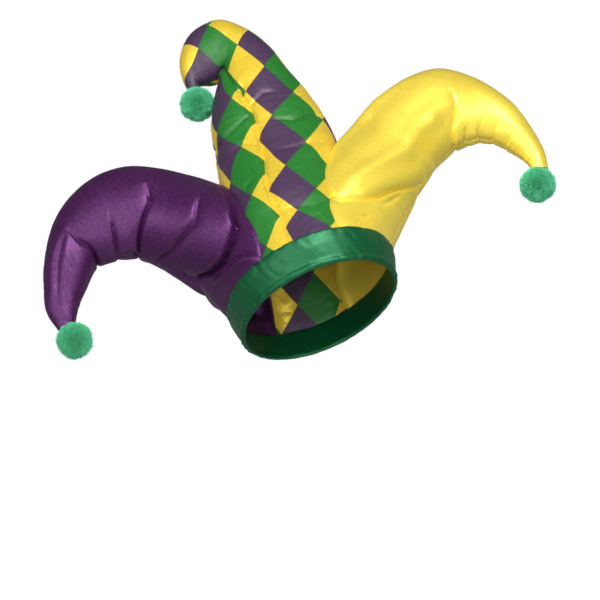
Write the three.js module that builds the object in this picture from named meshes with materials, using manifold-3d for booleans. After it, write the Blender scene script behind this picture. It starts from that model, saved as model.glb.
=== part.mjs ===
// A three-horned jester hat: a padded cuff, three puffed cloth horns and a pompom on each tip.
// Millimetres. The rim lies at z = 0 and the hat stands up along +Z.
// +X is the wearer's left, and the front looks along -Y.
import * as THREE from 'three';
import Module from 'manifold-3d';

const wasm = await Module();
wasm.setup();

// Head opening
const headWidth = 154;
const headLength = 194;
const rimTurn = THREE.MathUtils.degToRad(16); // the hat is worn with its rim turned under the horns

// Cuff
const cuffHeight = 33;
const cuffPad = 5;
const cuffFlare = 7;
const cuffRoll = 1.2; // how far the rolled lower edge stands out
const rollHeight = 0.12; // of the rolled edge, as a share of the cuff's height
const cuffPucker = 0.9; // how far the cloth swells between the stitches of the top seam
const cuffPuckers = 23;

// Cloth of the horns
const clothWall = 3;
const seamGap = 0.3; // kept between neighbouring pieces
const hornInset = 2; // the horns start this far inside the cuff's outer edge
const foldWidth = 10; // from the bottom of a fold to its shoulder
const foldDepth = 10;

// Purple horn, on the wearer's right
const purpleReach = 258;
const purpleRise = 228;
const purpleDepth = 92;

// Yellow horn, on the wearer's left
const yellowReach = 272;
const yellowRise = 224;
const yellowDepth = 92;

// Harlequin horn, in the middle
const harlequinWidth = 128;
const harlequinRise = 372;
const harlequinDepth = 98;

// Where the side horns take over from the middle horn on the rim, as shares of the rim's half width
const purpleJunction = 0.52;
const yellowJunction = 0.46;

// Pompoms, and how far from straight down each hangs off its tip towards the hat
const purpleHang = THREE.MathUtils.degToRad(14);
const yellowHang = THREE.MathUtils.degToRad(26);
const harlequinHang = THREE.MathUtils.degToRad(6);
const pompomDiameter = 37;
const pompomSink = 3; // how far a horn's tip goes into its pompom
const lockLength = 3.5; // how far the locks of yarn stand out of the ball
const lockWidth = 11;
const lockHead = 7.5; // width of a lock at its outer end
const lockCount = 21;
const lockRoot = 2.5; // how far each lock's foot lies inside the ball

// Mesh fineness
const hornRows = 25;
const hornColumns = 24;
const cuffColumns = 42;

// The rim, as an ellipse with its long axis turned
const halfWidth = headWidth / 2;
const halfLength = headLength / 2;
const seamHeight = cuffHeight + seamGap;
const innerEdge = 0.15; // inner edge of a side horn's base, as a share of the rim's half width
const arcFullness = 1.62; // makes the side horns' base follow the rim's arc
const middleOverlap = 1.4; // the middle horn's base runs on under the side horns by this factor
const middleFullness = 2.95; // makes the middle horn's base follow the rim's arc
const topGrowth = cuffPad + cuffFlare - hornInset;
const baseWidth = halfWidth + topGrowth;
const baseLength = halfLength + topGrowth;

// Columns: out and up of the upper seam, out and up of the lower seam, as shares of reach and rise;
// belly, where the section is deepest, as a share from upper to lower seam;
// depth, as a share of the horn's depth; fullness, 2 for an ellipse and more for a boxier section
const purpleRows = [
  { topOut: 0.02, topUp: 0.36, lowOut: 0.378, lowUp: 0.215, belly: 0.45, depth: 0.97, full: 1.7 },
  { topOut: 0.07, topUp: 0.57, lowOut: 0.430, lowUp: 0.310, belly: 0.50, depth: 0.84, full: 1.9 },
  { topOut: 0.19, topUp: 0.72, lowOut: 0.485, lowUp: 0.390, belly: 0.50, depth: 0.70, full: 2.0 },
  { topOut: 0.30, topUp: 0.84, lowOut: 0.545, lowUp: 0.470, belly: 0.50, depth: 0.58, full: 2.1 },
  { topOut: 0.41, topUp: 0.93, lowOut: 0.600, lowUp: 0.535, belly: 0.50, depth: 0.52, full: 2.1 },
  { topOut: 0.55, topUp: 1.00, lowOut: 0.665, lowUp: 0.565, belly: 0.50, depth: 0.48, full: 2.1 },
  { topOut: 0.68, topUp: 1.00, lowOut: 0.730, lowUp: 0.575, belly: 0.50, depth: 0.44, full: 2.1 },
  { topOut: 0.80, topUp: 0.94, lowOut: 0.785, lowUp: 0.570, belly: 0.50, depth: 0.39, full: 2.1 },
  { topOut: 0.90, topUp: 0.83, lowOut: 0.820, lowUp: 0.535, belly: 0.50, depth: 0.33, full: 2.1 },
  { topOut: 0.97, topUp: 0.69, lowOut: 0.860, lowUp: 0.470, belly: 0.50, depth: 0.27, full: 2.0 },
  { topOut: 1.01, topUp: 0.56, lowOut: 0.895, lowUp: 0.405, belly: 0.50, depth: 0.20, full: 2.0 },
  { topOut: 1.03, topUp: 0.43, lowOut: 0.920, lowUp: 0.350, belly: 0.50, depth: 0.14, full: 2.0 },
  { topOut: 1.00, topUp: 0.32, lowOut: 0.940, lowUp: 0.305, belly: 0.50, depth: 0.09, full: 2.0 },
];

const yellowRows = [
  { topOut: -0.02, topUp: 0.36, lowOut: 0.372, lowUp: 0.235, belly: 0.45, depth: 0.97, full: 1.7 },
  { topOut: 0.05, topUp: 0.56, lowOut: 0.440, lowUp: 0.330, belly: 0.50, depth: 0.84, full: 1.9 },
  { topOut: 0.21, topUp: 0.70, lowOut: 0.510, lowUp: 0.405, belly: 0.50, depth: 0.70, full: 2.0 },
  { topOut: 0.35, topUp: 0.81, lowOut: 0.570, lowUp: 0.475, belly: 0.50, depth: 0.58, full: 2.1 },
  { topOut: 0.48, topUp: 0.93, lowOut: 0.620, lowUp: 0.530, belly: 0.50, depth: 0.52, full: 2.1 },
  { topOut: 0.62, topUp: 1.00, lowOut: 0.675, lowUp: 0.570, belly: 0.50, depth: 0.48, full: 2.1 },
  { topOut: 0.77, topUp: 0.99, lowOut: 0.745, lowUp: 0.595, belly: 0.50, depth: 0.42, full: 2.1 },
  { topOut: 0.89, topUp: 0.89, lowOut: 0.820, lowUp: 0.590, belly: 0.50, depth: 0.35, full: 2.1 },
  { topOut: 0.975, topUp: 0.735, lowOut: 0.875, lowUp: 0.540, belly: 0.50, depth: 0.27, full: 2.1 },
  { topOut: 1.02, topUp: 0.575, lowOut: 0.920, lowUp: 0.460, belly: 0.50, depth: 0.20, full: 2.0 },
  { topOut: 1.03, topUp: 0.435, lowOut: 0.945, lowUp: 0.390, belly: 0.50, depth: 0.14, full: 2.0 },
  { topOut: 1.01, topUp: 0.325, lowOut: 0.950, lowUp: 0.335, belly: 0.50, depth: 0.10, full: 2.0 },
];

// For the middle horn the upper seam is the one on the wearer's right, where the tip curls under,
// and out is a share of the horn's width
const harlequinRows = [
  { topOut: -0.50, topUp: 0.24, lowOut: 0.52, lowUp: 0.24, belly: 0.50, depth: 0.92, full: 2.7 },
  { topOut: -0.48, topUp: 0.37, lowOut: 0.57, lowUp: 0.37, belly: 0.50, depth: 0.74, full: 2.4 },
  { topOut: -0.42, topUp: 0.48, lowOut: 0.61, lowUp: 0.48, belly: 0.50, depth: 0.60, full: 2.2 },
  { topOut: -0.38, topUp: 0.57, lowOut: 0.60, lowUp: 0.57, belly: 0.50, depth: 0.51, full: 2.1 },
  { topOut: -0.34, topUp: 0.65, lowOut: 0.55, lowUp: 0.65, belly: 0.50, depth: 0.45, full: 2.1 },
  { topOut: -0.25, topUp: 0.73, lowOut: 0.47, lowUp: 0.75, belly: 0.50, depth: 0.40, full: 2.1 },
  { topOut: -0.15, topUp: 0.79, lowOut: 0.38, lowUp: 0.85, belly: 0.50, depth: 0.35, full: 2.1 },
  { topOut: -0.10, topUp: 0.81, lowOut: 0.24, lowUp: 0.94, belly: 0.50, depth: 0.31, full: 2.1 },
  { topOut: -0.12, topUp: 0.81, lowOut: 0.03, lowUp: 1.00, belly: 0.50, depth: 0.28, full: 2.1 },
  { topOut: -0.18, topUp: 0.81, lowOut: -0.22, lowUp: 0.985, belly: 0.50, depth: 0.24, full: 2.1 },
  { topOut: -0.25, topUp: 0.81, lowOut: -0.38, lowUp: 0.92, belly: 0.50, depth: 0.18, full: 2.0 },
  { topOut: -0.29, topUp: 0.81, lowOut: -0.42, lowUp: 0.85, belly: 0.50, depth: 0.13, full: 2.0 },
  { topOut: -0.31, topUp: 0.79, lowOut: -0.40, lowUp: 0.80, belly: 0.50, depth: 0.09, full: 2.0 },
];

// Folds. Columns: where a fold starts and ends, along the horn from base to tip and across one face
// from upper to lower seam, both as shares; its width and depth, as shares of the sizes of a fold
const purpleFolds = [
  { along: 0.20, across: 0.27, toAlong: 0.11, toAcross: 0.56, width: 1.0, depth: 1.0 },
  { along: 0.10, across: 0.72, toAlong: 0.20, toAcross: 0.98, width: 1.0, depth: 0.9 },
  { along: 0.22, across: 0.50, toAlong: 0.32, toAcross: 0.98, width: 0.7, depth: 0.4 },
  { along: 0.37, across: 0.52, toAlong: 0.40, toAcross: 0.98, width: 0.8, depth: 0.6 },
  { along: 0.66, across: 0.50, toAlong: 0.60, toAcross: 0.98, width: 0.8, depth: 0.5 },
];
const yellowFolds = [
  { along: 0.14, across: 0.42, toAlong: 0.20, toAcross: 0.92, width: 0.9, depth: 0.8 },
  { along: 0.46, across: 0.20, toAlong: 0.50, toAcross: 0.85, width: 0.8, depth: 0.6 },
  { along: 0.30, across: 0.10, toAlong: 0.30, toAcross: 0.35, width: 0.8, depth: 0.4 },
  { along: 0.60, across: 0.75, toAlong: 0.60, toAcross: 1.00, width: 0.7, depth: 0.4 },
];
const harlequinFolds = [
  { along: 0.42, across: 0.40, toAlong: 0.02, toAcross: 0.48, width: 1.0, depth: 0.9 },
  { along: 0.47, across: 0.30, toAlong: 0.68, toAcross: 0.06, width: 0.9, depth: 0.6 },
  { along: 0.32, across: 0.34, toAlong: 0.30, toAcross: 0.04, width: 0.9, depth: 0.5 },
  { along: 0.28, across: 0.60, toAlong: 0.28, toAcross: 0.92, width: 0.8, depth: 0.4 },
];

// Shape of the cuff's cross-section. Columns: out, as a share of the padding, and up, as a share of
// the height
const cuffSection = [
  { out: 0.00, up: 0.06 },
  { out: 0.30, up: 0.00 },
  { out: 0.75, up: 0.00 },
  { out: 1.00, up: 0.07 },
  { out: 0.98, up: 0.20 },
  { out: 1.10, up: 0.50 },
  { out: 1.08, up: 0.80 },
  { out: 0.90, up: 1.00 },
  { out: 0.10, up: 1.00 },
  { out: 0.00, up: 0.90 },
];

function rimRadius(angle, across, along, turn) {
  const a = angle - turn;
  return (across * along) / Math.hypot(along * Math.cos(a), across * Math.sin(a));
}

// Turn of the rim, fading out up the horns
function turnBase(point) {
  const fade = THREE.MathUtils.smoothstep(point.z, seamHeight, seamHeight + baseWidth);
  const angle = Math.atan2(point.y, point.x);
  const straight = rimRadius(angle, baseWidth, baseLength, 0);
  const turned = rimRadius(angle, baseWidth, baseLength, rimTurn);
  const scale = THREE.MathUtils.lerp(turned / straight, 1, fade);
  point.x *= scale;
  point.y *= scale;
  return point;
}

// Skin of a closed body from rings of points, with a fan on each end
function skin(rings) {
  const columns = rings[0].length;
  const points = rings.flat();
  const faces = [];
  for (let r = 0; r < rings.length - 1; r++) {
    for (let c = 0; c < columns; c++) {
      const here = r * columns + c;
      const beside = r * columns + ((c + 1) % columns);
      faces.push(here, beside, here + columns);
      faces.push(beside, beside + columns, here + columns);
    }
  }
  for (const end of [0, rings.length - 1]) {
    const centre = new THREE.Vector3();
    rings[end].forEach((p) => centre.addScaledVector(p, 1 / columns));
    const middle = points.push(centre) - 1;
    for (let c = 0; c < columns; c++) {
      const here = end * columns + c;
      const beside = end * columns + ((c + 1) % columns);
      if (end === 0) faces.push(beside, here, middle);
      else faces.push(here, beside, middle);
    }
  }
  return geometryFrom(points.flatMap((p) => p.toArray()), faces);
}

function geometryFrom(numbers, faces) {
  const geometry = new THREE.BufferGeometry();
  geometry.setAttribute('position', new THREE.Float32BufferAttribute(numbers, 3));
  geometry.setIndex(faces);
  return geometry;
}

function solidOf(geometry) {
  const mesh = new wasm.Mesh({
    numProp: 3,
    vertProperties: new Float32Array(geometry.attributes.position.array),
    triVerts: new Uint32Array(geometry.index.array),
  });
  mesh.merge();
  return new wasm.Manifold(mesh);
}

function geometryOf(solid) {
  const mesh = solid.getMesh();
  const geometry = geometryFrom([...mesh.vertProperties], [...mesh.triVerts]);
  geometry.computeVertexNormals();
  return geometry;
}

// The largest body of a cut solid, without loose slivers
function mainBody(solid) {
  return solid.decompose().sort((a, b) => b.volume() - a.volume())[0];
}

// How far the folds push the cloth in at one place
function foldPush(folds, along, across, length, girth) {
  let push = 0;
  for (const fold of folds) {
    const start = new THREE.Vector2(fold.along * length, fold.across * girth);
    const end = new THREE.Vector2(fold.toAlong * length, fold.toAcross * girth);
    const here = new THREE.Vector2(along * length, across * girth);
    const line = end.sub(start);
    const share = THREE.MathUtils.clamp(here.clone().sub(start).dot(line) / line.lengthSq(), 0, 1);
    const distance = here.sub(start.addScaledVector(line, share)).length();
    push += fold.depth * foldDepth * Math.exp(-((distance / (fold.width * foldWidth)) ** 2));
  }
  return push;
}

// A horn as curves through its rows: both seams, and the numbers of its section
function hornCurves({ rows, side, reach, rise, depth, base }) {
  const top = [base.top];
  const low = [base.low];
  const numbers = [base.numbers];
  for (const row of rows) {
    top.push(new THREE.Vector3(side * row.topOut * reach, 0, row.topUp * rise));
    low.push(new THREE.Vector3(side * row.lowOut * reach, 0, row.lowUp * rise));
    numbers.push(new THREE.Vector3(row.belly, row.depth * depth, row.full));
  }
  const curve = (points) => new THREE.CatmullRomCurve3(points, false, 'centripetal');
  return { top: curve(top), low: curve(low), numbers: curve(numbers) };
}

// Ring of points round a horn. grow moves the skin out, and drop moves the ring down.
function hornRing(horn, along, grow, drop) {
  const top = horn.curves.top.getPoint(along);
  const low = horn.curves.low.getPoint(along);
  const numbers = horn.curves.numbers.getPoint(along);
  const across = low.clone().sub(top);
  const width = across.length();
  across.normalize();
  const belly = top.clone().addScaledVector(across, numbers.x * width);
  const power = 2 / numbers.z;
  const faceGirth = Math.PI * Math.hypot(width / 2, numbers.y) * Math.SQRT1_2; // round one face, seam to seam
  const ring = [];
  for (let c = 0; c < hornColumns; c++) {
    const angle = (2 * Math.PI * c) / hornColumns;
    const cos = Math.cos(angle);
    const sin = Math.sin(angle);
    const reach = cos > 0 ? numbers.x * width : (1 - numbers.x) * width;
    const faceShare = c <= hornColumns / 2 ? angle / Math.PI : 2 - angle / Math.PI;
    const push = foldPush(horn.folds, along, faceShare, horn.length, faceGirth);
    const point = belly.clone();
    point.addScaledVector(across, -Math.sign(cos) * (reach + grow) * Math.abs(cos) ** power);
    point.y -= Math.sign(sin) * (numbers.y + grow) * Math.abs(sin) ** power;
    const inward = belly.clone().sub(point);
    point.addScaledVector(inward.normalize(), push);
    point.z -= drop;
    ring.push(turnBase(point));
  }
  return ring;
}

// A horn's body: grow is 0 for its outside and less for its hollow
function hornBody(horn, grow, drop, reachEnd) {
  const rings = [];
  if (drop > 0) rings.push(hornRing(horn, 0, grow, drop));
  for (let r = 0; r <= hornRows; r++) rings.push(hornRing(horn, (reachEnd * r) / hornRows, grow, 0));
  if (horn.side < 0) rings.forEach((ring) => ring.reverse());
  return solidOf(skin(rings));
}

function sideBase(side, junction) {
  const inner = innerEdge * baseWidth;
  return {
    top: new THREE.Vector3(side * inner, 0, seamHeight),
    low: new THREE.Vector3(side * baseWidth, 0, seamHeight),
    numbers: new THREE.Vector3(
      (junction - innerEdge) / (1 - innerEdge),
      baseLength * Math.sqrt(1 - junction ** 2),
      arcFullness,
    ),
  };
}

function makeHorn(shape) {
  const curves = hornCurves(shape);
  const length = (curves.top.getLength() + curves.low.getLength()) / 2;
  const horn = { ...shape, curves, length };
  horn.tip = curves.top.getPoint(1).add(curves.low.getPoint(1)).multiplyScalar(0.5);
  horn.heading = new THREE.Vector3(-shape.side * Math.sin(shape.hang), 0, -Math.cos(shape.hang));
  horn.outside = hornBody(horn, 0, 0, 1);
  horn.hollow = hornBody(horn, -clothWall, clothWall, 1 - clothWall / length);
  return horn;
}

const purple = makeHorn({
  rows: purpleRows, folds: purpleFolds, side: -1,
  reach: purpleReach, rise: purpleRise, depth: purpleDepth, base: sideBase(-1, purpleJunction),
  hang: purpleHang,
});
const yellow = makeHorn({
  rows: yellowRows, folds: yellowFolds, side: 1,
  reach: yellowReach, rise: yellowRise, depth: yellowDepth, base: sideBase(1, yellowJunction),
  hang: yellowHang,
});
const harlequin = makeHorn({
  rows: harlequinRows, folds: harlequinFolds, side: 1,
  reach: harlequinWidth, rise: harlequinRise, depth: harlequinDepth,
  base: {
    top: new THREE.Vector3(-middleOverlap * purpleJunction * baseWidth, 0, seamHeight),
    low: new THREE.Vector3(middleOverlap * yellowJunction * baseWidth, 0, seamHeight),
    numbers: new THREE.Vector3(0.5, baseLength, middleFullness),
  },
  hang: harlequinHang,
});

// Side horns run on to the inside of the middle horn, which stops short of them
const purpleCloth = mainBody(purple.outside.subtract(purple.hollow).subtract(harlequin.hollow));
const yellowCloth = mainBody(yellow.outside.subtract(yellow.hollow).subtract(harlequin.hollow));
const clearance = [purple, yellow].map((horn) => hornBody(horn, seamGap, clothWall, 1));
const harlequinCloth = mainBody(
  harlequin.outside.subtract(harlequin.hollow).subtract(clearance[0]).subtract(clearance[1]),
);

// Cuff: its section carried round the rim, leaning outwards, with small puckers
function cuffRing(angle) {
  const ring = [];
  for (const { out, up } of cuffSection) {
    const lean = cuffFlare * up;
    const roll = cuffRoll * Math.exp(-((up / rollHeight) ** 2)) * out;
    const pucker = cuffPucker * out * up * Math.sin(cuffPuckers * angle);
    const growth = out * cuffPad + lean + roll + pucker;
    const radius = rimRadius(angle, halfWidth + growth, halfLength + growth, rimTurn);
    ring.push(new THREE.Vector3(radius * Math.cos(angle), radius * Math.sin(angle), up * cuffHeight));
  }
  return ring;
}

function closedBand(rings) {
  const columns = rings[0].length;
  const faces = [];
  for (let r = 0; r < rings.length; r++) {
    const next = (r + 1) % rings.length;
    for (let c = 0; c < columns; c++) {
      const beside = (c + 1) % columns;
      faces.push(r * columns + c, next * columns + c, r * columns + beside);
      faces.push(r * columns + beside, next * columns + c, next * columns + beside);
    }
  }
  return geometryFrom(rings.flat().flatMap((p) => p.toArray()), faces);
}

const cuffRings = Array.from({ length: cuffColumns }, (_, r) => cuffRing((2 * Math.PI * r) / cuffColumns));
const cuffCloth = solidOf(closedBand(cuffRings));

// Pompom: a round core with locks of yarn standing out of it, evenly spread over the ball
function pompom(horn) {
  const radius = pompomDiameter / 2;
  const core = radius - lockLength;
  const ball = solidOf(indexed(new THREE.IcosahedronGeometry(core, 1)));
  const golden = Math.PI * (3 - Math.sqrt(5)); // turn from each lock to the next
  const up = new THREE.Vector3(0, 1, 0);
  const locks = [];
  for (let k = 0; k < lockCount; k++) {
    const height = 1 - (2 * k + 1) / lockCount;
    const flat = Math.sqrt(1 - height ** 2);
    const way = new THREE.Vector3(flat * Math.cos(golden * k), flat * Math.sin(golden * k), height);
    const lock = new THREE.CylinderGeometry(lockHead / 2, lockWidth / 2, lockRoot + lockLength, 4);
    lock.translate(0, radius - (lockRoot + lockLength) / 2, 0);
    lock.applyQuaternion(new THREE.Quaternion().setFromUnitVectors(up, way));
    locks.push(solidOf(indexed(lock)));
  }
  const tufted = wasm.Manifold.union([ball, ...locks]);
  const centre = horn.tip.clone().addScaledVector(horn.heading, radius - pompomSink);
  const seat = hornBody(horn, seamGap, 0, 1).translate(horn.heading.clone().multiplyScalar(seamGap).toArray());
  return mainBody(tufted.translate(centre.toArray()).subtract(seat));
}

// Corners of a stock geometry, joined where they meet
function indexed(geometry) {
  const key = (x, y, z) => [x, y, z].map((v) => Math.round(v * 1e4)).join();
  const position = geometry.attributes.position;
  const order = geometry.index ? [...geometry.index.array] : [...Array(position.count).keys()];
  const seen = new Map();
  const points = [];
  const faces = order.map((i) => {
    const at = [position.getX(i), position.getY(i), position.getZ(i)];
    const name = key(...at);
    if (!seen.has(name)) seen.set(name, points.push(at) - 1);
    return seen.get(name);
  });
  const kept = [];
  for (let f = 0; f < faces.length; f += 3) {
    const [a, b, c] = faces.slice(f, f + 3);
    if (a !== b && b !== c && c !== a) kept.push(a, b, c);
  }
  return geometryFrom(points.flat(), kept);
}

const satin = (color) => new THREE.MeshStandardMaterial({ color, roughness: 0.4, metalness: 0.15 });
const cuffGreen = satin(0x1e7f4b);
const purpleSatin = satin(0x5a2d6e);
const yellowSatin = satin(0xf0d746);
const harlequinSatin = satin(0x3f8c3c);
const yarn = new THREE.MeshStandardMaterial({ color: 0x4bb982, roughness: 0.95, metalness: 0 });

const hat = new THREE.Group();
hat.name = 'jester_hat';

function addPiece(name, solid, material) {
  const mesh = new THREE.Mesh(geometryOf(solid), material);
  mesh.name = name;
  hat.add(mesh);
}

addPiece('cuff', cuffCloth, cuffGreen);
addPiece('purple_horn', purpleCloth, purpleSatin);
addPiece('harlequin_horn', harlequinCloth, harlequinSatin);
addPiece('yellow_horn', yellowCloth, yellowSatin);
addPiece('purple_pompom', pompom(purple), yarn);
addPiece('harlequin_pompom', pompom(harlequin), yarn);
addPiece('yellow_pompom', pompom(yellow), yarn);

export default hat;
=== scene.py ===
"""A three-horned jester hat in satin: padded green cuff, purple, harlequin and yellow horns, yarn pompoms.
Metres. The rim lies at z = 0, +X is the wearer's left, and the front looks along -Y."""

import math

import bpy
import numpy as np
from mathutils import Matrix, Vector


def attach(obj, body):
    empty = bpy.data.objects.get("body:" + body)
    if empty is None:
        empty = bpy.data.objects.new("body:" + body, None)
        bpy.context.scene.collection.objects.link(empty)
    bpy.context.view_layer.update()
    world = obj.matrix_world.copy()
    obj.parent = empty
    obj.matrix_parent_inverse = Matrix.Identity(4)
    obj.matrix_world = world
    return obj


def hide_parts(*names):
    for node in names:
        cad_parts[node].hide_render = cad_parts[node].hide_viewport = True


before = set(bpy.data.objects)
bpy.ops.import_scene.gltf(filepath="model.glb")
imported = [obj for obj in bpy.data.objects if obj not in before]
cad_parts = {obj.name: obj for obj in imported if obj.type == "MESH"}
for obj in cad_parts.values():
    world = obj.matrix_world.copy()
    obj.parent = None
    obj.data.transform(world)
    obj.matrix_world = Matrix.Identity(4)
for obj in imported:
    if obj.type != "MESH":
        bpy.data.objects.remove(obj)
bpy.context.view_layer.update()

MM = 0.001

# The hat's driving sizes, in metres
HEAD_WIDTH = 0.154
HEAD_LENGTH = 0.194
RIM_TURN = math.radians(16)
CUFF_HEIGHT = 0.033
CUFF_PAD = 0.005
CUFF_FLARE = 0.007
CLOTH_WALL = 0.003
SEAM_GAP = 0.0003
HORN_INSET = 0.002
POMPOM_DIAMETER = 0.037
POMPOM_SINK = 0.003

HALF_WIDTH = HEAD_WIDTH / 2
HALF_LENGTH = HEAD_LENGTH / 2
SEAM_HEIGHT = CUFF_HEIGHT + SEAM_GAP
INNER_EDGE = 0.15
ARC_FULLNESS = 1.62
MIDDLE_OVERLAP = 1.4
MIDDLE_FULLNESS = 2.95
PURPLE_JUNCTION = 0.52
YELLOW_JUNCTION = 0.46
TOP_GROWTH = CUFF_PAD + CUFF_FLARE - HORN_INSET
BASE_WIDTH = HALF_WIDTH + TOP_GROWTH
BASE_LENGTH = HALF_LENGTH + TOP_GROWTH

# Camera, as the photograph was taken: from the front and below, with the head tilted
CAMERA_DISTANCE = 1.9
CAMERA_PITCH = math.radians(25)
CAMERA_ROLL = math.radians(20)
CAMERA_YAW = math.radians(4)
FRAME_WIDTH = 0.612  # what the camera sees at the hat
HAT_RIGHT = 0.0204  # the hat's origin lies this far right of the picture's centre
HAT_DOWN = 0.0122

# Columns: out and up of the upper seam, out and up of the lower seam, belly, depth, fullness
PURPLE_ROWS = [
    (0.02, 0.36, 0.378, 0.215, 0.45, 0.97, 1.7),
    (0.07, 0.57, 0.430, 0.310, 0.50, 0.84, 1.9),
    (0.19, 0.72, 0.485, 0.390, 0.50, 0.70, 2.0),
    (0.30, 0.84, 0.545, 0.470, 0.50, 0.58, 2.1),
    (0.41, 0.93, 0.600, 0.535, 0.50, 0.52, 2.1),
    (0.55, 1.00, 0.665, 0.565, 0.50, 0.48, 2.1),
    (0.68, 1.00, 0.730, 0.575, 0.50, 0.44, 2.1),
    (0.80, 0.94, 0.785, 0.570, 0.50, 0.39, 2.1),
    (0.90, 0.83, 0.820, 0.535, 0.50, 0.33, 2.1),
    (0.97, 0.69, 0.860, 0.470, 0.50, 0.27, 2.0),
    (1.01, 0.56, 0.895, 0.405, 0.50, 0.20, 2.0),
    (1.03, 0.43, 0.920, 0.350, 0.50, 0.14, 2.0),
    (1.00, 0.32, 0.940, 0.305, 0.50, 0.09, 2.0),
]
YELLOW_ROWS = [
    (-0.02, 0.36, 0.372, 0.235, 0.45, 0.97, 1.7),
    (0.05, 0.56, 0.440, 0.330, 0.50, 0.84, 1.9),
    (0.21, 0.70, 0.510, 0.405, 0.50, 0.70, 2.0),
    (0.35, 0.81, 0.570, 0.475, 0.50, 0.58, 2.1),
    (0.48, 0.93, 0.620, 0.530, 0.50, 0.52, 2.1),
    (0.62, 1.00, 0.675, 0.570, 0.50, 0.48, 2.1),
    (0.77, 0.99, 0.745, 0.595, 0.50, 0.42, 2.1),
    (0.89, 0.89, 0.820, 0.590, 0.50, 0.35, 2.1),
    (0.975, 0.735, 0.875, 0.540, 0.50, 0.27, 2.1),
    (1.02, 0.575, 0.920, 0.460, 0.50, 0.20, 2.0),
    (1.03, 0.435, 0.945, 0.390, 0.50, 0.14, 2.0),
    (1.01, 0.325, 0.950, 0.335, 0.50, 0.10, 2.0),
]
HARLEQUIN_ROWS = [
    (-0.50, 0.24, 0.52, 0.24, 0.50, 0.92, 2.7),
    (-0.48, 0.37, 0.57, 0.37, 0.50, 0.74, 2.4),
    (-0.42, 0.48, 0.61, 0.48, 0.50, 0.60, 2.2),
    (-0.38, 0.57, 0.60, 0.57, 0.50, 0.51, 2.1),
    (-0.34, 0.65, 0.55, 0.65, 0.50, 0.45, 2.1),
    (-0.25, 0.73, 0.47, 0.75, 0.50, 0.40, 2.1),
    (-0.15, 0.79, 0.38, 0.85, 0.50, 0.35, 2.1),
    (-0.10, 0.81, 0.24, 0.94, 0.50, 0.31, 2.1),
    (-0.12, 0.81, 0.03, 1.00, 0.50, 0.28, 2.1),
    (-0.18, 0.81, -0.22, 0.985, 0.50, 0.24, 2.1),
    (-0.25, 0.81, -0.38, 0.92, 0.50, 0.18, 2.0),
    (-0.29, 0.81, -0.42, 0.85, 0.50, 0.13, 2.0),
    (-0.31, 0.79, -0.40, 0.80, 0.50, 0.09, 2.0),
]

# Creases in the front cloth. Columns: depth, width towards the tip, width towards the base, all in mm,
# how deep it starts and how deep it ends from 0 to 1, and its line in shares along and across
PURPLE_CREASES = [
    (15.0, 2.6, 15.0, 0.1, 0.8, [(0.215, 0.27), (0.150, 0.41), (0.116, 0.52), (0.103, 0.62), (0.098, 0.75),
                                (0.122, 0.86), (0.180, 1.00)]),
    (-6.0, 5.5, 5.5, 0.5, 0.1, [(0.010, 0.55), (0.055, 0.74), (0.100, 0.92)]),
    (5.0, 2.2, 5.0, 0.0, 0.7, [(0.242, 0.38), (0.228, 0.48), (0.213, 0.59), (0.231, 0.69), (0.262, 0.82),
                              (0.325, 1.00)]),
    (9.0, 9.0, 2.2, 0.0, 0.8, [(0.396, 0.41), (0.378, 0.49), (0.369, 0.53), (0.380, 0.63), (0.389, 0.76),
                              (0.395, 0.85), (0.400, 1.00)]),
    (3.6, 2.0, 6.0, 0.1, 0.5, [(0.498, 0.58), (0.490, 0.79), (0.497, 0.97)]),
    (5.5, 3.0, 7.0, 0.1, 1.0, [(0.670, 0.45), (0.660, 0.60), (0.640, 0.69), (0.618, 0.76), (0.606, 0.84),
                              (0.602, 1.00)]),
    (-1.7, 4.5, 4.5, 0.5, 0.1, [(0.685, 0.43), (0.76, 0.36), (0.93, 0.40)]),
    (-1.6, 4.5, 4.5, 0.5, 0.1, [(0.685, 0.50), (0.76, 0.55), (0.93, 0.58)]),
    (1.1, 3.5, 3.5, 0.2, 0.0, [(0.68, 0.47), (0.76, 0.455), (0.93, 0.49)]),
]
YELLOW_CREASES = [
    (7.5, 5.0, 13.0, 0.1, 0.7, [(0.150, 0.10), (0.134, 0.32), (0.123, 0.392), (0.098, 0.55), (0.108, 0.66),
                               (0.137, 0.736), (0.187, 0.803), (0.299, 0.99)]),
    (2.2, 3.0, 4.0, 0.0, 0.0, [(0.112, 0.76), (0.145, 0.81), (0.195, 0.85)]),
    (3.8, 2.0, 9.0, 0.0, 0.4, [(0.588, 0.48), (0.588, 0.60), (0.580, 0.71), (0.551, 0.81), (0.541, 0.93),
                              (0.538, 1.00)]),
    (2.2, 4.0, 4.0, 0.0, 0.2, [(0.370, 0.25), (0.350, 0.33), (0.325, 0.43)]),
    (3.0, 7.0, 7.0, 0.4, 0.4, [(0.045, 0.66), (0.055, 0.71)]),
    (1.6, 2.0, 4.0, 0.0, 0.8, [(0.615, 0.78), (0.606, 0.88), (0.600, 1.00)]),
    (1.5, 2.0, 4.0, 0.0, 0.8, [(0.680, 0.72), (0.665, 0.86), (0.655, 1.00)]),
    (1.3, 2.0, 3.5, 0.0, 0.8, [(0.745, 0.66), (0.730, 0.82), (0.722, 1.00)]),
    (1.1, 2.0, 3.5, 0.0, 0.8, [(0.810, 0.64), (0.795, 0.80), (0.785, 1.00)]),
    (-5.5, 11.0, 11.0, 0.5, 0.5, [(0.17, 0.56), (0.32, 0.66), (0.48, 0.64), (0.56, 0.60)]),
    (-4.5, 9.0, 9.0, 0.3, 0.3, [(0.20, 0.22), (0.34, 0.22), (0.50, 0.26)]),
    (-3.0, 10.0, 10.0, 1.0, 0.2, [(0.150, -0.03), (0.142, 0.08), (0.134, 0.20)]),
    (1.4, 1.3, 1.3, 1.0, 0.4, [(0.00, 0.89), (0.06, 0.92), (0.14, 0.95), (0.24, 0.97)]),
]
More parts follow.
